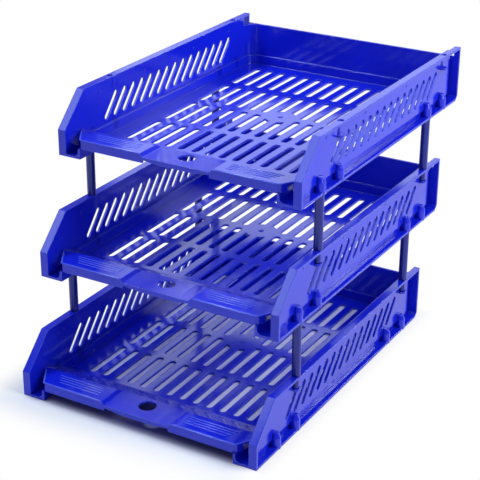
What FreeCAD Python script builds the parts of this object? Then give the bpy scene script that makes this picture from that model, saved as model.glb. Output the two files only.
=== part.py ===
import FreeCAD, Part
import math
import os
import Sketcher

# Three letter trays stacked on risers. X is the width, the open fronts face -Y and Z is up.
# The origin is under the middle of the whole stack, on the surface that it stands on.

V = FreeCAD.Vector
doc = FreeCAD.newDocument("letter_tray_stack")

# Driving dimensions in millimetres

SIZES = [
    ("tray_width", 255.0, "outer width over the side flanges"),
    ("tray_depth", 342.0, "front of the side flanges to the outside of the back wall"),
    ("tray_height", 56.5, "underside of the floor to the top of the side rims"),
    ("wall", 2.0, "side and back wall thickness"),
    ("floor_thickness", 2.2, "slotted floor plate"),
    ("flange_thickness", 2.2, "plate thickness of the flange round each side wall"),
    ("flange_width", 8.0, "rim width, from the wall's inner face to the flange edge"),
    ("foot_step", 2.0, "how far the lower wall stands inside the upper wall"),
    ("foot_step_height", 9.0, "height of the step, outside"),
    ("ledge_rise", 3.0, "inner ledge above the outer step"),
    ("corner_radius", 16.0, "outer radius of the upper wall's rear corners"),
    ("rear_chamfer", 5.0, "chamfer of the side flange at the rear foot"),
    ("slant_start", 25.0, "height where the slanted front edge begins"),
    ("slant_run", 31.5, "how far back the slanted front edge reaches"),
    ("back_wall_height", 46.5, "top edge of the back wall"),
    ("lip_setback", 1.0, "front face of the lip behind the flange front"),
    ("lip_height", 18.5, "top of the lip"),
    ("lip_depth", 26.0, "top of the lip, front to crest"),
    ("lip_skirt", 8.5, "height of the lip's front face"),
    ("lip_thickness", 2.0, "plate thickness of the lip and its ramp"),
    ("ramp_run", 33.0, "ramp between the crest of the lip and the flat floor"),
    ("recess_width", 70.0, "finger recess in the lip, at its floor"),
    ("recess_flare", 3.0, "slope of the recess ends, along X"),
    ("recess_drop", 3.0, "recess floor below the lip top"),
    ("finger_hole_radius", 8.5, "hole in the recess floor"),
    ("finger_hole_setback", 21.0, "hole centre behind the flange front"),
    ("recess_skirt", 4.5, "front face of the recess, in its middle"),
    ("recess_skirt_end", 2.6, "front face of the recess, at its ends"),
    ("corner_cut_run", 24.0, "front corner diagonal, length along Y"),
    ("corner_cut_width", 14.0, "front corner diagonal, width along X"),
    ("corner_turn", 3.0, "bevel between the lip's front and the diagonal"),
    ("corner_return", 5.0, "return of the lip's skirt along the diagonal, length along Y"),
    ("corner_fillet", 5.0, "fillet between a corner's rib and its floor"),
    ("floor_slot_width", 7.0, "floor slot width"),
    ("floor_slot_length", 58.0, "floor slot length"),
    ("floor_slot_pitch_x", 14.8, "floor slot spacing across the tray"),
    ("floor_slot_pitch_y", 66.0, "floor slot row spacing"),
    ("floor_slot_start", 66.0, "front end of the first slot row"),
    ("gate_disc_radius", 16.0, "solid disc in the middle of the floor"),
    ("wall_slot_width", 6.0, "slanted wall slot width"),
    ("wall_slot_pitch", 15.1, "wall slot spacing"),
    ("wall_slot_start", 66.0, "lower end of the first wall slot"),
    ("wall_slot_lean", 16.6, "run of a wall slot along Y, between its end centres"),
    ("wall_slot_low", 19.2, "centre of a wall slot's lower end"),
    ("wall_slot_rise", 19.4, "height between a wall slot's end centres"),
    ("riser_inset", 4.4, "riser axis inside the flange edge"),
    ("riser_setback", 42.0, "front riser sockets behind the flange front"),
    ("riser_span", 230.0, "front to rear riser spacing"),
    ("stagger", 36.0, "set-back of each tray over the one below"),
    ("riser_radius", 4.25, "riser shaft radius"),
    ("spigot_radius", 3.0, "riser spigot radius"),
    ("riser_shaft", 53.5, "riser shaft between two trays"),
    ("foot_spigot", 13.0, "spigot that stands in the lower tray"),
    ("head_spigot", 10.5, "spigot that enters the upper tray"),
    ("spigot_chamfer", 0.6, "chamfer of the spigot ends"),
    ("fit_clearance", 0.1, "radial clearance of a spigot in its hole"),
    ("head_clearance", 0.5, "end clearance above the head spigot"),
    ("boss_wall", 1.8, "plastic round a socket"),
    ("boss_crown", 4.9, "height of the closed end above a socket"),
    ("boss_taper", 24.0, "draft of the closed end, in degrees"),
    ("niche_wall", 1.2, "plastic round the niche under a rim hole"),
    ("niche_floor", 2.0, "floor plate under the niche"),
]

# Counts

FLOOR_SLOT_COLUMNS = 14
FLOOR_SLOT_ROWS = 4
WALL_SLOTS = 15
FILLET_STEPS = 5

sheet = doc.addObject("Spreadsheet::Sheet", "size")
for row, (name, value, note) in enumerate(SIZES, start=1):
    sheet.set(f"A{row}", name)
    sheet.set(f"B{row}", str(value))
    sheet.set(f"C{row}", note)
    sheet.setAlias(f"B{row}", name)
doc.recompute()

# Places worked out from the driving dimensions, as expressions

HALF_WIDTH = "size.tray_width / 2"
WALL_IN = f"({HALF_WIDTH} - size.flange_width)"
WALL_OUT = f"({WALL_IN} + size.wall)"
FOOT_IN = f"({WALL_IN} - size.foot_step)"
FOOT_OUT = f"({WALL_OUT} - size.foot_step)"
LEDGE = "(size.foot_step_height + size.ledge_rise)"
BACK_IN = "(size.tray_depth - size.wall)"
RIM_UNDER = "(size.tray_height - size.flange_thickness)"
CREST = "(size.lip_setback + size.lip_depth)"
RAMP_FOOT = f"({CREST} + size.ramp_run)"
RAMP_SLOPE = "((size.lip_height - size.floor_thickness) / size.ramp_run)"
RECESS_FLOOR = "(size.lip_height - size.recess_drop)"
RECESS_END = f"({CREST} + size.recess_drop / {RAMP_SLOPE})"
CORNER_X = f"({WALL_IN} - size.corner_cut_width)"
CORNER_Y = "(size.lip_setback + size.corner_cut_run)"
TURN_X = f"({CORNER_X} - size.corner_turn)"
TURN_Y = "(size.lip_setback + size.corner_turn)"
RETURN_X = f"({CORNER_X} + size.corner_return * size.corner_cut_width / ({CORNER_Y} - {TURN_Y}))"
RETURN_Y = f"({TURN_Y} + size.corner_return)"
RIB_X = f"({CORNER_X} - size.lip_thickness)"
SKIRT_FOOT = "(size.lip_height - size.lip_skirt)"
DISC_Y = ("(size.floor_slot_start + (3 * size.floor_slot_pitch_y + size.floor_slot_length) / 2)")
SLOT_END = "size.floor_slot_width / 2"
RISER_X = f"({HALF_WIDTH} - size.riser_inset)"
HOLE_SETBACK = "(size.riser_setback + size.stagger)"
HOLE_RADIUS = "(size.spigot_radius + size.fit_clearance)"
SOCKET_DEPTH = "(size.head_spigot + size.head_clearance)"
NICHE_FLOOR = "(size.tray_height - size.foot_spigot)"
TRAY_PITCH = "(size.tray_height + size.riser_shaft)"


def number(expression):
    return float(sheet.evalExpression(expression))


# Sketch helpers

def plane(body, role):
    return next(f for f in body.Origin.OriginFeatures if f.Role == role)


def sketch_on(body, name, role, offset="0"):
    sketch = body.newObject("Sketcher::SketchObject", name)
    sketch.AttachmentSupport = [(plane(body, role), "")]
    sketch.MapMode = "FlatFace"
    if offset != "0":
        sketch.setExpression(".AttachmentOffset.Base.z", offset)
    return sketch


def hold(sketch, kind, *where, by):
    index = sketch.addConstraint(Sketcher.Constraint(kind, *where, number(by)))
    sketch.setExpression(f"Constraints[{index}]", by)


def place(sketch, edge, point, u, v):
    # Dimensions one point of an edge from the sketch's origin, or puts it on an axis.
    for kind, axis, by in (("DistanceX", -2, u), ("DistanceY", -1, v)):
        if by == "0":
            sketch.addConstraint(Sketcher.Constraint("PointOnObject", edge, point, axis))
        else:
            hold(sketch, kind, -1, 1, edge, point, by=by)


def polygon(sketch, corners):
    spots = [V(number(u), number(v), 0) for u, v in corners]
    first = sketch.GeometryCount
    count = len(corners)
    for i in range(count):
        sketch.addGeometry(Part.LineSegment(spots[i], spots[(i + 1) % count]))
    for i in range(count):
        sketch.addConstraint(
            Sketcher.Constraint("Coincident", first + i, 2, first + (i + 1) % count, 1))
    for i, (u, v) in enumerate(corners):
        place(sketch, first + i, 1, u, v)


def mirrored(corners):
    return [(f"-{u}", v) for u, v in corners]


def circle(sketch, u, v, radius):
    edge = sketch.addGeometry(
        Part.Circle(V(number(u), number(v), 0), V(0, 0, 1), number(radius)))
    place(sketch, edge, 3, u, v)
    hold(sketch, "Radius", edge, by=radius)


def slot(sketch, start, end, radius):
    # A straight slot with round ends, between two end centres.
    a = V(number(start[0]), number(start[1]), 0)
    b = V(number(end[0]), number(end[1]), 0)
    r = number(radius)
    along = (b - a).normalize()
    side = V(-along.y, along.x, 0) * r
    turn = math.atan2(along.y, along.x)
    half = math.pi / 2
    first = sketch.GeometryCount
    sketch.addGeometry(Part.ArcOfCircle(Part.Circle(b, V(0, 0, 1), r), turn - half, turn + half))
    sketch.addGeometry(Part.LineSegment(b + side, a + side))
    sketch.addGeometry(Part.ArcOfCircle(Part.Circle(a, V(0, 0, 1), r), turn + half, turn + 3 * half))
    sketch.addGeometry(Part.LineSegment(a - side, b - side))
    for i in range(4):
        sketch.addConstraint(Sketcher.Constraint("Tangent", first + i, 2, first + (i + 1) % 4, 1))
    sketch.addConstraint(Sketcher.Constraint("Equal", first, first + 2))
    place(sketch, first, 3, *end)
    place(sketch, first + 2, 3, *start)
    hold(sketch, "Radius", first, by=radius)


def tub(sketch, half, front, back, radius):
    # A plan outline, open corners at the front and round corners at the back.
    a, y0, y1, r = (number(e) for e in (half, front, back, radius))
    quarter = math.pi / 2
    sketch.addGeometry(Part.LineSegment(V(-a, y0, 0), V(a, y0, 0)))
    sketch.addGeometry(Part.LineSegment(V(a, y0, 0), V(a, y1 - r, 0)))
    sketch.addGeometry(
        Part.ArcOfCircle(Part.Circle(V(a - r, y1 - r, 0), V(0, 0, 1), r), 0, quarter))
    sketch.addGeometry(Part.LineSegment(V(a - r, y1, 0), V(r - a, y1, 0)))
    sketch.addGeometry(
        Part.ArcOfCircle(Part.Circle(V(r - a, y1 - r, 0), V(0, 0, 1), r), quarter, 2 * quarter))
    sketch.addGeometry(Part.LineSegment(V(-a, y1 - r, 0), V(-a, y0, 0)))
    for i, kind in enumerate(("Coincident", "Tangent", "Tangent", "Tangent", "Tangent", "Coincident")):
        sketch.addConstraint(Sketcher.Constraint(kind, i, 2, (i + 1) % 6, 1))
    sketch.addConstraint(Sketcher.Constraint("Horizontal", 3))
    sketch.addConstraint(Sketcher.Constraint("Vertical", 1))
    sketch.addConstraint(Sketcher.Constraint("Vertical", 5))
    sketch.addConstraint(Sketcher.Constraint("Equal", 2, 4))
    sketch.addConstraint(Sketcher.Constraint("Symmetric", 0, 1, 0, 2, -2))
    hold(sketch, "Radius", 2, by=radius)
    hold(sketch, "DistanceX", -1, 1, 0, 2, by=half)
    hold(sketch, "DistanceY", -1, 1, 3, 1, by=back)
    if front == "0":
        sketch.addConstraint(Sketcher.Constraint("PointOnObject", 0, 1, -1))
    else:
        hold(sketch, "DistanceY", -1, 1, 0, 1, by=front)


# Feature helpers. Each one checks that it added or removed material.

def volume(body):
    return body.Tip.Shape.Volume if body.Tip and not body.Tip.Shape.isNull() else 0.0


def feature(body, kind, name, sketch, length, side="One side", reverse=False):
    before = volume(body)
    item = body.newObject(f"PartDesign::{kind}", name)
    item.Profile = sketch
    item.SideType = side
    item.Reversed = reverse
    item.setExpression("Length", length)
    doc.recompute()
    change = item.Shape.Volume - before
    if (kind == "Pad") != (change > 0) or abs(change) < 0.1:
        raise RuntimeError(f"{name} changed the volume by {change:.2f}")
    return item


def pad(body, name, sketch, length, **options):
    return feature(body, "Pad", name, sketch, length, **options)


def pocket(body, name, sketch, length, **options):
    return feature(body, "Pocket", name, sketch, length, **options)


# Tray

def side_frames(body):
    # The flange round both side walls, the floor plate and the back wall, as one hoop.
    hoop = sketch_on(body, "hoop_outline", "YZ_Plane")
    polygon(hoop, [
        ("0", "0"),
        ("size.tray_depth - size.rear_chamfer", "0"),
        ("size.tray_depth", "size.rear_chamfer"),
        ("size.tray_depth", "size.tray_height"),
        ("size.slant_run", "size.tray_height"),
        ("0", "size.slant_start"),
    ])
    rise = "(size.tray_height - size.slant_start)"
    lean = f"(size.flange_thickness * sqrt(1 + pow({rise} / size.slant_run; 2)))"
    thick = "size.flange_thickness"
    low_turn = f"(size.slant_start - {lean} + {thick} * {rise} / size.slant_run)"
    high_turn = f"(size.slant_run + ({lean} - {thick}) * size.slant_run / {rise})"
    polygon(hoop, [
        (thick, "size.floor_thickness"),
        (f"size.tray_depth - size.rear_chamfer", "size.floor_thickness"),
        (f"size.tray_depth - {thick}", "size.rear_chamfer"),
        (f"size.tray_depth - {thick}", RIM_UNDER),
        (high_turn, RIM_UNDER),
        (thick, low_turn),
    ])
    pad(body, "hoop", hoop, "size.tray_width", side="Symmetric")


def walls(body):
    # Side walls and back wall as full blocks, a wide one over a narrower foot.
    upper = sketch_on(body, "upper_wall_plan", "XY_Plane", "size.foot_step_height")
    tub(upper, WALL_OUT, "0", "size.tray_depth", "size.corner_radius")
    pad(body, "upper_wall", upper, "size.tray_height - size.foot_step_height")
    lower = sketch_on(body, "foot_wall_plan", "XY_Plane")
    tub(lower, FOOT_OUT, "0", "size.tray_depth - size.foot_step", "size.corner_radius - size.foot_step")
    pad(body, "foot_wall", lower, "size.foot_step_height")


def riser_spots(setback):
    return [(f"{sign}{RISER_X}", f"({setback}{step})")
            for step in ("", " + size.riser_span") for sign in ("", "-")]


def bosses(body):
    # Blind upright sockets at the foot of each side wall, two pairs a side.
    spots = riser_spots("size.riser_setback") + riser_spots(HOLE_SETBACK)
    shafts = sketch_on(body, "boss_plan", "XY_Plane")
    for u, v in spots:
        circle(shafts, u, v, f"({HOLE_RADIUS} + size.boss_wall)")
    pad(body, "boss_shafts", shafts, SOCKET_DEPTH)
    crowns = sketch_on(body, "boss_crown_plan", "XY_Plane", SOCKET_DEPTH)
    for u, v in spots:
        circle(crowns, u, v, f"({HOLE_RADIUS} + size.boss_wall)")
    crown = pad(body, "boss_crowns", crowns, "size.boss_crown")
    crown.setExpression("TaperAngle", "-size.boss_taper")
    return spots


def trim_front(body):
    # The walls end at the slanted front edge.
    front = sketch_on(body, "front_trim_outline", "YZ_Plane")
    polygon(front, [
        ("0", "size.slant_start"),
        ("size.slant_run", "size.tray_height"),
        ("size.slant_run", "size.tray_height * 1.2"),
        ("-size.slant_run", "size.tray_height * 1.2"),
        ("-size.slant_run", "size.slant_start"),
    ])
    pocket(body, "front_trim", front, "size.tray_width", side="Symmetric")


def cavity(body):
    # The inside, open at the front, with a ledge where the foot steps in.
    upper = sketch_on(body, "upper_cavity_plan", "XY_Plane", "size.tray_height")
    tub(upper, WALL_IN, "-size.wall", BACK_IN, "size.corner_radius - size.wall")
    pocket(body, "upper_cavity", upper, f"size.tray_height - {LEDGE}")
    lower = sketch_on(body, "foot_cavity_plan", "XY_Plane", LEDGE)
    tub(lower, FOOT_IN, "-size.wall", f"{BACK_IN} - size.foot_step",
        "size.corner_radius - size.wall - size.foot_step")
    pocket(body, "foot_cavity", lower, f"{LEDGE} - size.floor_thickness")
    back = sketch_on(body, "back_top_plan", "XY_Plane", "size.tray_height")
    polygon(back, [
        (f"-{WALL_OUT}", "size.tray_depth - size.corner_radius"),
        (WALL_OUT, "size.tray_depth - size.corner_radius"),
        (WALL_OUT, "size.tray_depth + size.wall"),
        (f"-{WALL_OUT}", "size.tray_depth + size.wall"),
    ])
    pocket(body, "back_top", back, "size.tray_height - size.back_wall_height")


def lip(body):
    # Raised lip with a ramp down to the floor, hollow below, and a finger recess.
    under = sketch_on(body, "lip_hollow_plan", "XY_Plane", "size.floor_thickness")
    polygon(under, [
        (f"-{FOOT_IN}", "-size.wall"),
        (FOOT_IN, "-size.wall"),
        (FOOT_IN, RAMP_FOOT),
        (f"-{FOOT_IN}", RAMP_FOOT),
    ])
    pocket(body, "lip_hollow", under, "size.floor_thickness")
    section = sketch_on(body, "lip_section", "YZ_Plane")
    underside = f"(size.lip_thickness * sqrt(1 + pow({RAMP_SLOPE}; 2)))"
    polygon(section, [
        ("size.lip_setback", "size.lip_height - size.lip_skirt"),
        ("size.lip_setback", "size.lip_height"),
        (CREST, "size.lip_height"),
        (RAMP_FOOT, "size.floor_thickness"),
        (f"({RAMP_FOOT} + size.lip_thickness)", "size.floor_thickness"),
        (f"({RAMP_FOOT} + size.lip_thickness)", "0"),
        (f"{RAMP_FOOT} - ({underside} - size.floor_thickness) / {RAMP_SLOPE}", "0"),
        (f"{CREST} - ({underside} - size.lip_thickness) / {RAMP_SLOPE}",
         "size.lip_height - size.lip_thickness"),
        ("size.lip_setback + size.lip_thickness", "size.lip_height - size.lip_thickness"),
        ("size.lip_setback + size.lip_thickness", "size.lip_height - size.lip_skirt"),
    ])
    pad(body, "lip", section, f"2 * {WALL_IN}", side="Symmetric")


def pad_pair(body, name, role, corners, length, offset="0", reverse=False):
    # The same outline on both sides of the tray.
    sketch = sketch_on(body, f"{name}_outline", role, offset)
    polygon(sketch, corners)
    polygon(sketch, mirrored(corners))
    pad(body, name, sketch, length, reverse=reverse)


def front_corners(body):
    # The lip's corners are cut back to the walls. An upright rib under each cut, rounded
    # into a narrow floor, leaves a niche beside the wall.
    cut = sketch_on(body, "corner_cut_plan", "XY_Plane", "size.lip_height")
    corner = [
        (TURN_X, "0"),
        (WALL_IN, "0"),
        (WALL_IN, CORNER_Y),
        (CORNER_X, TURN_Y),
        (TURN_X, "size.lip_setback"),
    ]
    polygon(cut, corner)
    polygon(cut, mirrored(corner))
    pocket(body, "corner_cut", cut, "size.lip_height - size.floor_thickness")
    pad_pair(body, "corner_returns", "XY_Plane", [
        (TURN_X, "size.lip_setback"),
        (CORNER_X, TURN_Y),
        (RETURN_X, RETURN_Y),
        (f"({RETURN_X} - size.lip_thickness)", RETURN_Y),
        (RIB_X, f"({TURN_Y} + size.lip_thickness / 2)"),
        (TURN_X, "(size.lip_setback + size.lip_thickness)"),
    ], "size.lip_skirt", SKIRT_FOOT)
    pad_pair(body, "corner_ribs", "XY_Plane", [
        (RIB_X, "0"),
        (CORNER_X, "0"),
        (CORNER_X, CORNER_Y),
        (RIB_X, CORNER_Y),
    ], SKIRT_FOOT)
    pad_pair(body, "corner_rib_tops", "XY_Plane", [
        (RIB_X, TURN_Y),
        (CORNER_X, TURN_Y),
        (CORNER_X, CORNER_Y),
        (RIB_X, CORNER_Y),
    ], "size.lip_height")
    pad_pair(body, "corner_floors", "XY_Plane", [
        (RIB_X, "0"),
        (WALL_IN, "0"),
        (WALL_IN, CORNER_Y),
        (RIB_X, CORNER_Y),
    ], "size.flange_thickness")
    fillet = [(CORNER_X, "size.flange_thickness")]
    for step in range(FILLET_STEPS):
        turn = math.pi * (1.5 - step / (FILLET_STEPS - 1) / 2)
        fillet.append((
            f"({CORNER_X} + {1 + math.cos(turn):.5f} * size.corner_fillet)",
            f"(size.flange_thickness + {1 + math.sin(turn):.5f} * size.corner_fillet)",
        ))
    pad_pair(body, "corner_fillets", "XZ_Plane", fillet, CORNER_Y, reverse=True)
    pad_pair(body, "corner_cheeks", "XY_Plane", [
        (WALL_IN, "0"),
        (WALL_OUT, "0"),
        (WALL_OUT, f"({CORNER_Y} + size.lip_thickness)"),
        (WALL_IN, f"({CORNER_Y} + size.lip_thickness)"),
    ], "size.foot_step_height")


def finger_recess(body):
    # A lower stretch in the middle of the lip, with sloping ends and a round hole.
    half = "(size.recess_width / 2)"
    top = f"({half} + size.recess_flare)"
    cut = sketch_on(body, "recess_section", "XZ_Plane", "size.recess_drop")
    polygon(cut, [
        (f"-{half}", RECESS_FLOOR),
        (half, RECESS_FLOOR),
        (top, "size.lip_height"),
        (top, "size.lip_height * 1.2"),
        (f"-{top}", "size.lip_height * 1.2"),
        (f"-{top}", "size.lip_height"),
    ])
    pocket(body, "recess", cut, f"{RECESS_END} + 2 * size.recess_drop")
    plate = sketch_on(body, "recess_plate_plan", "XY_Plane", f"{RECESS_FLOOR} - size.lip_thickness")
    polygon(plate, [
        (f"-{half}", "size.lip_setback"),
        (half, "size.lip_setback"),
        (half, RECESS_END),
        (f"-{half}", RECESS_END),
    ])
    pad(body, "recess_plate", plate, "size.lip_thickness")
    ends = sketch_on(body, "recess_end_section", "XZ_Plane", "-size.lip_setback")
    cheek = [
        (half, f"{RECESS_FLOOR} - size.lip_thickness"),
        (half, RECESS_FLOOR),
        (top, "size.lip_height"),
        (f"({top} + size.lip_thickness)", "size.lip_height"),
        (f"({half} + size.lip_thickness)", f"{RECESS_FLOOR} - size.lip_thickness"),
    ]
    polygon(ends, cheek)
    polygon(ends, mirrored(cheek))
    pad(body, "recess_ends", ends, f"{RECESS_END} - size.lip_setback", reverse=True)
    above = sketch_on(body, "recess_end_trim_outline", "YZ_Plane")
    polygon(above, [
        (CREST, "size.lip_height"),
        (RECESS_END, RECESS_FLOOR),
        (RECESS_END, "size.lip_height * 1.2"),
        (CREST, "size.lip_height * 1.2"),
    ])
    pocket(body, "recess_end_trim", above, "size.recess_width + 4 * size.recess_flare", side="Symmetric")
    trim = sketch_on(body, "recess_skirt_section", "XZ_Plane", "size.recess_drop")
    low = f"({RECESS_FLOOR} - size.recess_skirt)"
    high = f"({RECESS_FLOOR} - size.recess_skirt_end)"
    polygon(trim, [
        (f"-{half}", "0"),
        (half, "0"),
        (half, high),
        (f"({half} / 2)", low),
        (f"-({half} / 2)", low),
        (f"-{half}", high),
    ])
    pocket(body, "recess_skirt_trim", trim, "size.recess_drop + size.lip_setback + size.lip_thickness")
    hole = sketch_on(body, "finger_hole_plan", "XY_Plane", RECESS_FLOOR)
    circle(hole, "0", "size.finger_hole_setback", "size.finger_hole_radius")
    pocket(body, "finger_hole", hole, "2 * size.lip_thickness")


def pattern(body, name, original, axis, offset, occurrences, axis_2=None, offset_2=None, occurrences_2=1):
    item = body.newObject("PartDesign::LinearPattern", name)
    item.Originals = [original]
    item.Direction = (plane(body, axis), [""])
    item.Mode = "Spacing"
    item.setExpression("Offset", offset)
    item.Occurrences = occurrences
    if axis_2:
        item.Direction2 = (plane(body, axis_2), [""])
        item.Mode2 = "Spacing"
        item.setExpression("Offset2", offset_2)
        doc.recompute()
        item.Occurrences2 = occurrences_2
    body.Tip = item
    doc.recompute()


def floor_slots(body):
    first = sketch_on(body, "floor_slot_plan", "XY_Plane", "size.floor_thickness")
    x = f"({(1 - FLOOR_SLOT_COLUMNS) / 2} * size.floor_slot_pitch_x)"
    slot(first,
         (x, f"(size.floor_slot_start + {SLOT_END})"),
         (x, f"(size.floor_slot_start + size.floor_slot_length - {SLOT_END})"),
         SLOT_END)
    cut = pocket(body, "floor_slot", first, "size.floor_thickness")
    pattern(body, "floor_slots", cut, "X_Axis", "size.floor_slot_pitch_x", FLOOR_SLOT_COLUMNS,
            "Y_Axis", "size.floor_slot_pitch_y", FLOOR_SLOT_ROWS)
    disc = sketch_on(body, "gate_disc_plan", "XY_Plane")
    circle(disc, "0", DISC_Y, "size.gate_disc_radius")
    pad(body, "gate_disc", disc, "size.floor_thickness")


def wall_slots(body):
    first = sketch_on(body, "wall_slot_outline", "YZ_Plane")
    slot(first,
         ("size.wall_slot_start", "size.wall_slot_low"),
         ("(size.wall_slot_start + size.wall_slot_lean)", "(size.wall_slot_low + size.wall_slot_rise)"),
         "size.wall_slot_width / 2")
    cut = pocket(body, "wall_slot", first, "size.tray_width", side="Symmetric")
    pattern(body, "wall_slots", cut, "Y_Axis", "size.wall_slot_pitch", WALL_SLOTS)


def riser_niches(body):
    # Half-round niches under the rim holes, each with a floor that a riser stands on.
    spots = riser_spots(HOLE_SETBACK)
    shell = sketch_on(body, "niche_plan", "XY_Plane", f"{NICHE_FLOOR} - size.niche_floor")
    for u, v in spots:
        circle(shell, u, v, f"({HOLE_RADIUS} + size.niche_wall)")
    pad(body, "niche_shells", shell, "size.foot_spigot + size.niche_floor")
    outside = sketch_on(body, "niche_front_plan", "XY_Plane", RIM_UNDER)
    for u, v in spots:
        sign = "-" if u.startswith("-") else ""
        polygon(outside, [
            (f"{sign}{WALL_OUT}", f"({v} - size.riser_radius * 2)"),
            (f"{sign}{HALF_WIDTH}", f"({v} - size.riser_radius * 2)"),
            (f"{sign}{HALF_WIDTH}", f"({v} + size.riser_radius * 2)"),
            (f"{sign}{WALL_OUT}", f"({v} + size.riser_radius * 2)"),
        ])
    pocket(body, "niche_fronts", outside, f"{RIM_UNDER} - {NICHE_FLOOR}")
    holes = sketch_on(body, "rim_hole_plan", "XY_Plane", "size.tray_height")
    for u, v in spots:
        circle(holes, u, v, HOLE_RADIUS)
    pocket(body, "rim_holes", holes, "size.foot_spigot")


def sockets(body, spots):
    holes = sketch_on(body, "socket_plan", "XY_Plane", SOCKET_DEPTH)
    for u, v in spots:
        circle(holes, u, v, HOLE_RADIUS)
    pocket(body, "sockets", holes, SOCKET_DEPTH)


def make_tray():
    body = doc.addObject("PartDesign::Body", "tray_bottom")
    side_frames(body)
    walls(body)
    spots = bosses(body)
    trim_front(body)
    cavity(body)
    lip(body)
    front_corners(body)
    finger_recess(body)
    riser_niches(body)
    floor_slots(body)
    wall_slots(body)
    sockets(body, spots)
    return body


# Riser

def make_riser():
    body = doc.addObject("PartDesign::Body", "riser_lower_front_right")
    shoulder = "(size.foot_spigot + size.riser_shaft)"
    tip = f"({shoulder} + size.head_spigot)"
    narrow = "(size.spigot_radius - size.spigot_chamfer)"
    profile = sketch_on(body, "riser_profile", "XZ_Plane")
    polygon(profile, [
        ("0", "0"),
        (narrow, "0"),
        ("size.spigot_radius", "size.spigot_chamfer"),
        ("size.spigot_radius", "size.foot_spigot"),
        ("size.riser_radius", "size.foot_spigot"),
        ("size.riser_radius", shoulder),
        ("size.spigot_radius", shoulder),
        ("size.spigot_radius", f"({tip} - size.spigot_chamfer)"),
        (narrow, tip),
        ("0", tip),
    ])
    turned = body.newObject("PartDesign::Revolution", "turned_riser")
    turned.Profile = profile
    turned.ReferenceAxis = (plane(body, "Z_Axis"), [""])
    turned.Angle = 360
    doc.recompute()
    return body


# Placing

def put(item, x, y, z):
    for axis, by in zip("xyz", (x, y, z)):
        item.setExpression(f".Placement.Base.{axis}", by)


def repeat(source, name, x, y, z):
    # The same piece again under its own name, shifted from the first one.
    again = doc.addObject("Part::Compound", name)
    again.Links = [source]
    put(again, x, y, z)
    return again


STACK_BACK = "((size.tray_depth + 2 * size.stagger) / 2)"
tray = make_tray()
put(tray, "0", f"-{STACK_BACK}", "0")
riser = make_riser()
put(riser, RISER_X, f"{HOLE_SETBACK} - {STACK_BACK}", NICHE_FLOOR)
pieces = [
    tray,
    repeat(tray, "tray_middle", "0", "size.stagger", TRAY_PITCH),
    repeat(tray, "tray_top", "0", "2 * size.stagger", f"2 * {TRAY_PITCH}"),
    riser,
]
for storey, step, lift in (("lower", "0", "0"), ("upper", "size.stagger", TRAY_PITCH)):
    for end, back in (("front", "0"), ("rear", "size.riser_span")):
        for side, across in (("right", "0"), ("left", f"-2 * {RISER_X}")):
            name = f"riser_{storey}_{end}_{side}"
            if name != riser.Label:
                pieces.append(repeat(riser, name, across, f"{back} + {step}", lift))
doc.recompute()

# Check every object, then write one STEP file for each piece

for item in doc.Objects:
    if "Invalid" in item.State or "Error" in item.State:
        raise RuntimeError(f"{item.Label} did not recompute")
for item in pieces:
    shape = item.Shape
    if shape.isNull() or not shape.isValid() or len(shape.Solids) != 1:
        raise RuntimeError(f"{item.Label} is not one valid solid")
os.makedirs("parts", exist_ok=True)
for item in pieces:
    item.Shape.exportStep(f"parts/{item.Label}.step")
    box = item.Shape.BoundBox
    print(item.Label, round(box.XMin, 2), round(box.XMax, 2), round(box.YMin, 2),
          round(box.YMax, 2), round(box.ZMin, 2), round(box.ZMax, 2), round(item.Shape.Volume))
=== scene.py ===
import math

import bmesh
import bpy
from mathutils import Matrix, Vector


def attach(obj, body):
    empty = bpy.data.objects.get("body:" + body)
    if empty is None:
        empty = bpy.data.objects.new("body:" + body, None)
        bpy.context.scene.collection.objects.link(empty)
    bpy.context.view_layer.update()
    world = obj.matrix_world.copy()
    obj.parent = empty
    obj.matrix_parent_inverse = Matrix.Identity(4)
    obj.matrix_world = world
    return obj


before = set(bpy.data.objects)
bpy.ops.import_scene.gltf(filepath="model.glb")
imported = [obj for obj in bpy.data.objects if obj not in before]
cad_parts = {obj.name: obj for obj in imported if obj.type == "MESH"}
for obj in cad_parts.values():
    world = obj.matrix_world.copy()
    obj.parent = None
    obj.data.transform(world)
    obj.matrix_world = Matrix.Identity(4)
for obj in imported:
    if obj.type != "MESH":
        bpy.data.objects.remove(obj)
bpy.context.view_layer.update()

# Sizes in metres, as the solids have them

TIERS = (
    ("bottom", "bottom_tier", Vector((0, -0.207, 0))),
    ("middle", "middle_tier", Vector((0, -0.171, 0.110))),
    ("top", "top_tier", Vector((0, -0.135, 0.220))),
)
WALL_IN = 0.1195
WALL_OUT = 0.1215
FLOOR_TOP = 0.0022
LIP_TOP = 0.0185
RECESS_HALF = 0.035
RECESS_TOP = 0.0155
RECESS_REAR = 0.033
CORNER_X = 0.1055
CORNER_Y = 0.004
CORNER_SLOPE = 1.5
DISC_Y = 0.194
PIP_Y = (0.055, 0.1325, 0.223, 0.294)
PIP_Z = 0.047
BOSS_Y = (0.042, 0.078, 0.272, 0.308)


# Camera, at the photograph's viewing angle

def place_camera(position, azimuth, elevation, roll, focal, frame_width=480):
    data = bpy.data.cameras.new("camera")
    data.sensor_width = 36
    data.lens = focal / frame_width * data.sensor_width
    camera = bpy.data.objects.new("camera", data)
    bpy.context.scene.collection.objects.link(camera)
    a, e = math.radians(azimuth), math.radians(elevation)
    back = Vector((math.sin(a) * math.cos(e), -math.cos(a) * math.cos(e), math.sin(e)))
    turn = (-back).to_track_quat("-Z", "Y").to_matrix().to_4x4()
    tilt = Matrix.Rotation(math.radians(roll), 4, "Z")
    camera.matrix_world = Matrix.Translation(position) @ turn @ tilt
    bpy.context.scene.camera = camera


place_camera(Vector((0.6336, -1.1053, 0.6862)), 30.26, 24.31, 0.35, 1405.6)
bpy.context.scene.view_settings.view_transform = "Standard"


# Shader maths as expressions on wrapped sockets

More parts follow.
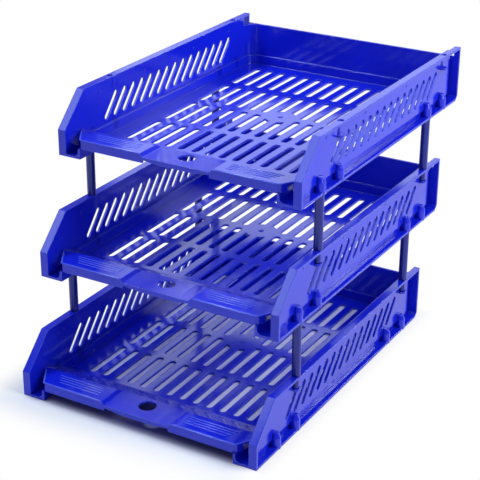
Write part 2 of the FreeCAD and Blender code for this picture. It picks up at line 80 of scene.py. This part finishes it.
class Value:
    def __init__(self, finish, output):
        self.finish = finish
        self.output = output

    def math(self, operation, *others, clamp=False):
        inputs = {i: v for i, v in enumerate((self, *others))}
        return self.finish.node("ShaderNodeMath", {"operation": operation, "use_clamp": clamp}, inputs)

    def __add__(self, other):
        return self.math("ADD", other)

    def __sub__(self, other):
        return self.math("SUBTRACT", other)

    def __mul__(self, other):
        return self.math("MULTIPLY", other)

    def __truediv__(self, other):
        return self.math("DIVIDE", other)

    def __rsub__(self, other):
        return self.math("MULTIPLY", -1).math("ADD", other)

    __radd__ = __add__
    __rmul__ = __mul__

    def between(self, low, high):
        # 0 below low, 1 above high and smooth in between.
        return self.finish.node(
            "ShaderNodeMapRange",
            {"interpolation_type": "SMOOTHSTEP"},
            {"Value": self, "From Min": low, "From Max": high},
        )


class Finish:
    # One material and the nodes in it.
    def __init__(self, name):
        self.material = bpy.data.materials.new(name)
        self.material.use_nodes = True
        self.tree = self.material.node_tree
        self.tree.nodes.clear()

    def node(self, kind, settings=None, inputs=None, output=0):
        made = self.tree.nodes.new(kind)
        for name, value in (settings or {}).items():
            setattr(made, name, value)
        for name, value in (inputs or {}).items():
            if isinstance(value, Value):
                self.tree.links.new(value.output, made.inputs[name])
            else:
                made.inputs[name].default_value = value
        return Value(self, made.outputs[output]) if made.outputs else None

    def noise(self, place, scale, detail=2.0, rough=0.5):
        return self.node(
            "ShaderNodeTexNoise", None,
            {"Vector": place, "Scale": scale, "Detail": detail, "Roughness": rough},
        )

    def mix(self, amount, one, other):
        made = self.tree.nodes.new("ShaderNodeMix")
        made.data_type = "RGBA"
        for socket, value in ((made.inputs[0], amount), (made.inputs[6], one), (made.inputs[7], other)):
            if isinstance(value, Value):
                self.tree.links.new(value.output, socket)
            else:
                socket.default_value = value
        return Value(self, made.outputs[2])

    def surface(self, shader):
        self.node("ShaderNodeOutputMaterial", None, {"Surface": shader})
        return self.material


def colour(red, green, blue):
    return (red, green, blue, 1.0)


RECESS_DIP = 0.17

# Moulded plastic. Places are the object's own, so a finish moves with its piece.

def scaled(finish, place, x, y, z):
    return finish.node("ShaderNodeVectorMath", {"operation": "MULTIPLY"}, {0: place, 1: (x, y, z)})


def tilted_back(finish, normal, x, y, z):
    # The floor of the finger recess dips a little toward the rear.
    inside = 1 - x.math("ABSOLUTE").between(RECESS_HALF - 0.0004, RECESS_HALF + 0.0004)
    inside = inside * z.between(RECESS_TOP - 0.0006, RECESS_TOP - 0.0003)
    inside = inside * (1 - z.between(RECESS_TOP + 0.0003, RECESS_TOP + 0.0006))
    inside = inside * (1 - y.between(RECESS_REAR - 0.0004, RECESS_REAR + 0.0004))
    dip = finish.node("ShaderNodeCombineXYZ", None, {"Y": inside * RECESS_DIP})
    leaning = finish.node("ShaderNodeVectorMath", {"operation": "ADD"}, {0: normal, 1: dip})
    return finish.node("ShaderNodeVectorMath", {"operation": "NORMALIZE"}, {0: leaning})


def plastic(name, base, deep, light, start=None, roughness=0.15, coat=0.15):
    finish = Finish(name)
    place = finish.node("ShaderNodeTexCoord", output=3)
    split = finish.node("ShaderNodeSeparateXYZ", None, {0: place})
    x, y, z = (Value(finish, split.output.node.outputs[i]) for i in range(3))
    flow = finish.noise(scaled(finish, place, 1.0, 0.35, 1.0), 14.0, 3.0)
    tint = flow.between(0.3, 0.75) * 0.35
    if start is not None:
        # Painted shade: darker spots on the inner wall where the thick bosses behind the wall's foot keep back the
        # light that passes through the plastic.
        depth = z - start.z
        side = x.math("ABSOLUTE").between(0.112, 0.117)
        boss_shade = None
        for along in BOSS_Y:
            dy = (y - (start.y + along)) / 0.0052
            dz = (depth - 0.0105) / 0.0075
            near = 1 - (dy * dy + dz * dz).between(0.35, 1.25)
            boss_shade = near if boss_shade is None else boss_shade.math("MAXIMUM", near)
        inner = 1 - x.math("ABSOLUTE").between(WALL_IN + 0.0002, WALL_IN + 0.0006)
        tint = tint.math("MAXIMUM", boss_shade * side * inner * 0.8)
    # Painted shade: creases and the sides of small ribs are darkened toward the deep blue where the ambient occlusion
    # finds them closed in.
    open_air = finish.node("ShaderNodeAmbientOcclusion", {"samples": 6}, {"Distance": 0.005}, output=1)
    tint = tint.math("MAXIMUM", (1 - open_air.between(0.35, 0.85)) * 0.85)
    edge = finish.node("ShaderNodeBevel", {"samples": 6}, {"Radius": 0.0011})
    flat = finish.node("ShaderNodeNewGeometry", output=1)
    turn = finish.node("ShaderNodeVectorMath", {"operation": "DOT_PRODUCT"}, {0: edge, 1: flat}, output=1)
    # Painted highlight: outer edges, where the bevelled normal turns away from the face's own, are lightened toward the
    # light blue; creases are left out.
    edge_highlight = (1 - turn).between(0.01, 0.16) * open_air.between(0.45, 0.8) * 0.75
    shade = finish.mix(edge_highlight, finish.mix(tint, base, deep), light)
    fine = finish.noise(place, 950.0, 2.0)
    rubs = finish.noise(scaled(finish, place, 60.0, 4.0, 60.0), 9.0, 4.0)
    rough = rubs.between(0.45, 0.8) * 0.10 + fine * 0.05 + (roughness - 0.05)
    if start is not None:
        edge = tilted_back(finish, edge, x, y - start.y, z - start.z)
    bump = finish.node(
        "ShaderNodeBump", None,
        {"Strength": 0.12, "Distance": 0.0001, "Height": fine + rubs * 0.6, "Normal": edge},
    )
    shader = finish.node(
        "ShaderNodeBsdfPrincipled", None,
        {
            "Base Color": shade,
            "Roughness": rough,
            "IOR": 1.45,
            "Specular Tint": colour(0.84, 0.94, 1.0),
            "Normal": bump,
            "Coat Weight": coat,
            "Coat Roughness": 0.06,
        },
    )
    return finish.surface(shader)


BLUE = colour(0.007, 0.018, 0.70)
DEEP_BLUE = colour(0.004, 0.007, 0.38)
# Painted highlight: a lighter blue laid on lit edges, on the ridges and on the lip's edge beads.
HIGHLIGHT_BLUE = colour(0.075, 0.13, 0.90)
POST_BLUE = colour(0.006, 0.010, 0.27)
POST_DEEP = colour(0.004, 0.006, 0.16)

tray_finish = {name: plastic(f"tray_plastic_{name}", BLUE, DEEP_BLUE, HIGHLIGHT_BLUE, start) for name, body, start in TIERS}
riser_finish = plastic("riser_plastic", POST_BLUE, POST_DEEP, POST_BLUE, roughness=0.2)
# Painted highlight: the ridges and edge beads of the lips get the lighter blue and more coat, standing in for the
# bright lines of light along them.
ridge_highlight_finish = plastic("ridge_highlight_plastic", HIGHLIGHT_BLUE, BLUE, HIGHLIGHT_BLUE, roughness=0.12, coat=0.3)


def dress(obj, finish):
    obj.data.materials.clear()
    obj.data.materials.append(finish)


for node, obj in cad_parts.items():
    dress(obj, riser_finish if node.startswith("riser") else tray_finish[node.split("_")[1]])


# Small moulded details that ride on the trays

def add_piece(name, body, mesh, finish):
    data = bpy.data.meshes.new(name)
    bmesh.ops.recalc_face_normals(mesh, faces=mesh.faces)
    mesh.to_mesh(data)
    mesh.free()
    for face in data.polygons:
        face.use_smooth = True
    piece = bpy.data.objects.new(name, data)
    bpy.context.scene.collection.objects.link(piece)
    dress(piece, finish)
    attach(piece, body)
    return piece


def add_bead(mesh, start, end, up, width, height, sides=6):
    # A low rounded rib from start to end, closed at both ends and sunk into its base.
    along = (end - start).normalized()
    across = along.cross(up)
    sink = 0.0003
    rings = []
    for spot, size in ((start, 0.3), (start + along * height * 2, 1), (end - along * height * 2, 1), (end, 0.3)):
        ring = [mesh.verts.new(spot - across * width / 2 - up * sink)]
        for i in range(sides + 1):
            turn = math.pi * i / sides
            rise = up * math.sin(turn) * height * size
            ring.append(mesh.verts.new(spot - across * math.cos(turn) * width / 2 + rise))
        ring.append(mesh.verts.new(spot + across * width / 2 - up * sink))
        rings.append(ring)
    count = len(rings[0])
    for one, other in zip(rings, rings[1:]):
        for i in range(count):
            j = (i + 1) % count
            mesh.faces.new((one[i], one[j], other[j], other[i]))
    mesh.faces.new(rings[0])
    mesh.faces.new(reversed(rings[-1]))


def add_button(mesh, centre, out, radius, height, sides=20, dip=0.0):
    # A round raised spot with a soft edge and, if asked, a dimple in its middle.
    side = out.orthogonal().normalized()
    other = out.cross(side)
    profile = [(1.0, -0.0003), (1.0, 0.0), (0.9, height * 0.8), (0.72, height)]
    if dip:
        profile.append((0.45, height - dip * 0.7))
    rings = []
    for share, rise in profile:
        ring = []
        for i in range(sides):
            turn = 2 * math.pi * i / sides
            flat = side * math.cos(turn) + other * math.sin(turn)
            ring.append(mesh.verts.new(centre + flat * radius * share + out * rise))
        rings.append(ring)
    for one, two in zip(rings, rings[1:]):
        for i in range(sides):
            j = (i + 1) % sides
            mesh.faces.new((one[i], one[j], two[j], two[i]))
    mesh.faces.new(reversed(rings[0]))
    tip = mesh.verts.new(centre + out * (height - dip))
    for i in range(sides):
        mesh.faces.new((rings[-1][i], rings[-1][(i + 1) % sides], tip))


UP = Vector((0, 0, 1))
RIDGE_Y = (0.0102, 0.0140, 0.0177, 0.0214)
RIDGE_START = 0.047
HIGHLIGHT_BEAD_Y = 0.0022
CORNER_END = 0.0240
RECESS_SHOULDER = 0.0395
RIDGE_MARGIN = 0.018


def lip_ridges(name, body, start):
    mesh = bmesh.new()
    for y in RIDGE_Y:
        outer = CORNER_X + (y - CORNER_Y) / CORNER_SLOPE - RIDGE_MARGIN
        for side in (-1, 1):
            low = start + Vector((side * RIDGE_START, y, LIP_TOP))
            high = start + Vector((side * outer, y, LIP_TOP))
            add_bead(mesh, low, high, UP, 0.0011, 0.0005)
    # Painted highlight: a low bead in the highlight blue runs along the lip's front edge and its corner diagonal,
    # standing in for the bright line where that edge catches the light.
    for side in (-1, 1):
        highlight_bead = [
            start + Vector((side * x, y, LIP_TOP))
            for x, y in ((RECESS_SHOULDER, HIGHLIGHT_BEAD_Y), (CORNER_X - 0.001, HIGHLIGHT_BEAD_Y), (WALL_IN - 0.001, CORNER_END))]
        for low, high in zip(highlight_bead, highlight_bead[1:]):
            add_bead(mesh, low, high, UP, 0.0016, 0.0005)
    add_piece(f"lip_ridges_{name}", body, mesh, ridge_highlight_finish)


def wall_pips(name, body, start):
    mesh = bmesh.new()
    for side in (-1, 1):
        for y in PIP_Y:
            for wall, out in ((WALL_IN, -side), (WALL_OUT, side)):
                centre = start + Vector((side * wall, y, PIP_Z))
                add_button(mesh, centre, Vector((out, 0, 0)), 0.0016, 0.0003)
    add_piece(f"wall_pips_{name}", body, mesh, tray_finish[name])


def gate_mark(name, body, start):
    mesh = bmesh.new()
    add_button(mesh, start + Vector((0, DISC_Y, FLOOR_TOP)), UP, 0.0028, 0.0005, dip=0.0004)
    add_piece(f"gate_mark_{name}", body, mesh, tray_finish[name])


for name, body, start in TIERS:
    lip_ridges(name, body, start)
    wall_pips(name, body, start)
    gate_mark(name, body, start)


# White floor that keeps the object's shadow

def floor_finish():
    # White away from the object, and paint that takes its shadow close to it, tinted blue there as painted bounce
    # light.
    finish = Finish("studio_floor")
    path = finish.node("ShaderNodeLightPath").output.node
    camera, glossy, through = (
        Value(finish, path.outputs[n]) for n in ("Is Camera Ray", "Is Glossy Ray", "Is Transmission Ray"))
    seen = (camera + glossy + through).math("MINIMUM", 1)
    place = finish.node("ShaderNodeTexCoord", output=3)
    split = finish.node("ShaderNodeSeparateXYZ", None, {0: place}).output.node
    beside, along = ((Value(finish, split.outputs[i]) - SHADOW_MIDDLE[i]).math("ABSOLUTE") for i in range(2))
    away = (beside - SHADOW_HALF[0]).math("MAXIMUM", along - SHADOW_HALF[1])
    # Painted bounce light: close to the object the paint is tinted blue, standing in for the blue light the plastic
    # throws on the ground.
    tone = finish.mix(away.between(-0.03, 0.02), colour(0.84, 0.88, 1.0), colour(0.9, 0.9, 0.91))
    # The ground under the solid lip is deep in the tray's own blue shade.
    lip = 1 - (Value(finish, split.outputs[1]) + LIP_SHADE_Y).math("ABSOLUTE").between(0.012, 0.034)
    lip = lip * (1 - Value(finish, split.outputs[0]).math("ABSOLUTE").between(0.10, 0.13))
    tone = finish.mix(lip * 0.85, tone, colour(0.16, 0.15, 0.42))
    paint = finish.node("ShaderNodeBsdfDiffuse", None, {"Color": tone})
    far = finish.node("ShaderNodeEmission", None, {"Color": colour(1, 1, 1), "Strength": 1.0})
    share = seen * away.between(0, SHADOW_FADE)
    return finish.surface(finish.node("ShaderNodeMixShader", None, {0: share, 1: paint, 2: far}))


SHADOW_MIDDLE = (-0.015, -0.051)
SHADOW_HALF = (0.115, 0.165)
SHADOW_FADE = 0.045
LIP_SHADE_Y = 0.184
mesh = bmesh.new()
bmesh.ops.create_grid(mesh, x_segments=1, y_segments=1, size=8)
data = bpy.data.meshes.new("studio_floor")
mesh.to_mesh(data)
mesh.free()
floor = bpy.data.objects.new("studio_floor", data)
floor.location.z = -0.0003
bpy.context.scene.collection.objects.link(floor)
dress(floor, floor_finish())

def backdrop_finish():
    # A white wall far behind, seen only by the camera and in reflections.
    finish = Finish("studio_backdrop")
    path = finish.node("ShaderNodeLightPath").output.node
    seen = Value(finish, path.outputs["Is Camera Ray"]) + Value(finish, path.outputs["Is Glossy Ray"])
    paint = finish.node("ShaderNodeBsdfDiffuse", None, {"Color": colour(0.9, 0.9, 0.9)})
    white = finish.node("ShaderNodeEmission", None, {"Color": colour(1, 1, 1), "Strength": 1.0})
    share = seen.math("MINIMUM", 1)
    return finish.surface(finish.node("ShaderNodeMixShader", None, {0: share, 1: paint, 2: white}))


mesh = bmesh.new()
mesh.faces.new([mesh.verts.new(Vector((x, 2.4, z))) for x, z in ((-4, 0), (4, 0), (4, 0.75), (-4, 0.75))])
data = bpy.data.meshes.new("studio_backdrop")
mesh.to_mesh(data)
mesh.free()
backdrop = bpy.data.objects.new("studio_backdrop", data)
bpy.context.scene.collection.objects.link(backdrop)
dress(backdrop, backdrop_finish())

# Light

world = bpy.data.worlds.new("studio")
world.use_nodes = True
bpy.context.scene.world = world
tree = world.node_tree
sky = tree.nodes["Background"]
sky.inputs["Color"].default_value = colour(1, 1, 1)
sky.inputs["Strength"].default_value = 0.235
# Above the horizon the camera sees the same white as on the floor.
plain = tree.nodes.new("ShaderNodeBackground")
plain.inputs["Color"].default_value = colour(1, 1, 1)
plain.inputs["Strength"].default_value = 1.0
both = tree.nodes.new("ShaderNodeMixShader")
path = tree.nodes.new("ShaderNodeLightPath")
tree.links.new(path.outputs["Is Camera Ray"], both.inputs[0])
tree.links.new(sky.outputs[0], both.inputs[1])
tree.links.new(plain.outputs[0], both.inputs[2])
tree.links.new(both.outputs[0], tree.nodes["World Output"].inputs["Surface"])


def softbox(name, spot, target, width, height, power, tone=(1, 1, 1)):
    lamp = bpy.data.lights.new(name, "AREA")
    lamp.shape = "RECTANGLE"
    lamp.size = width
    lamp.size_y = height
    lamp.energy = power
    lamp.color = tone
    obj = bpy.data.objects.new(name, lamp)
    obj.location = spot
    obj.rotation_euler = (target - obj.location).to_track_quat("-Z", "Y").to_euler()
    bpy.context.scene.collection.objects.link(obj)


MIDDLE = Vector((0, 0, 0.14))
softbox("key_right", Vector((1.5, 0.2, 1.25)), MIDDLE, 1.2, 1.0, 28)
softbox("rear_sheen", Vector((-0.92, 1.95, 1.25)), MIDDLE, 1.1, 0.8, 4, (0.85, 0.93, 1.0))
softbox("front_top", Vector((-0.82, -0.76, 1.55)), MIDDLE, 0.85, 0.85, 9, (0.85, 0.92, 1.0))
softbox("top_spot", Vector((-0.73, -0.04, 1.56)), MIDDLE, 0.3, 0.3, 9, (0.8, 0.92, 1.0))
softbox("edge_light", Vector((0.85, 1.65, 1.1)), MIDDLE, 0.3, 0.3, 4)
